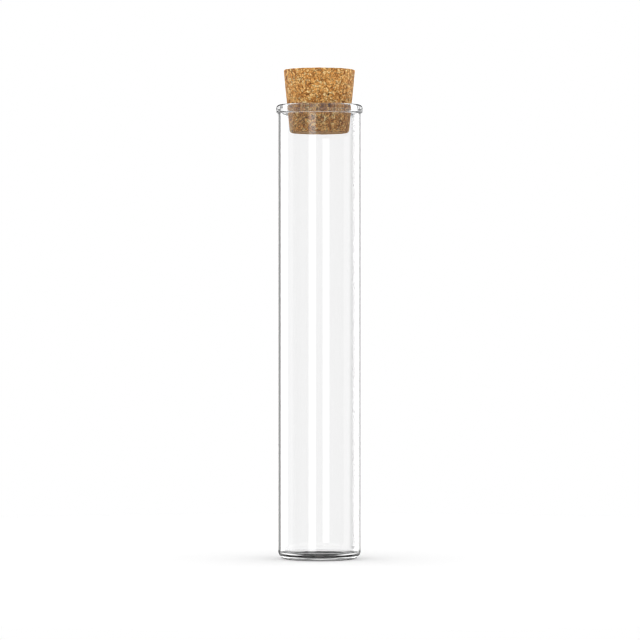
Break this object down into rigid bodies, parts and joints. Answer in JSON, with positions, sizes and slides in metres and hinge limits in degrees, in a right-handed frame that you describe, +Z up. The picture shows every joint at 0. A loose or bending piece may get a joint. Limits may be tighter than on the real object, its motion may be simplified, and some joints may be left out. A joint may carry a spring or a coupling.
{
  "type": "test tube",
  "caption": "Clear glass test tube with a flat base, thin straight wall and rolled rim, closed by a tapered granulated cork stopper that pulls straight out.",
  "frame": {"origin": "centre of the flat base, on the plane that the tube stands on", "axes": "+Z up along the tube's axis, out of the mouth; X and Y are any two directions across it, because both pieces are round"},
  "size_m": [0.0266, 0.0266, 0.1508],
  "materials": {
    "clear_glass": "polished",
    "cork": "matte"
  },
  "bodies": {
    "tube": {"glass_tube": "clear_glass"},
    "stopper": {"cork_stopper": "cork"}
  },
  "joints": [
    {"name": "stopper_lift", "type": "slide", "parent": "tube", "child": "stopper", "axis": [0, 0, 1], "range_m": [0, 0.03]}
  ]
}
